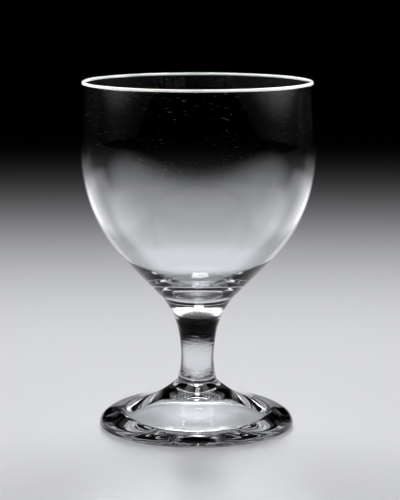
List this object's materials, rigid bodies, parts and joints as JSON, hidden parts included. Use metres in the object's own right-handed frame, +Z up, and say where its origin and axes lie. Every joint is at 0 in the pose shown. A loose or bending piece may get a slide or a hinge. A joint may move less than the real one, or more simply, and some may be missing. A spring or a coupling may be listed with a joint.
{
  "type": "goblet",
  "caption": "Plain clear glass goblet: a deep round bowl on a short waisted stem and a trumpet-shaped foot with a thick rounded edge.",
  "frame": {"origin": "on the axis, on the plane that the foot stands on", "axes": "+Z up along the axis that the bowl, stem and foot are turned about; +X and +Y are alike"},
  "size_m": [0.1012, 0.1012, 0.15],
  "materials": {
    "clear_glass": "clear, colourless to faintly cool, fire-polished"
  },
  "bodies": {
    "root": {"bowl": "clear_glass", "stem": "clear_glass", "foot": "clear_glass"}
  },
  "joints": []
}
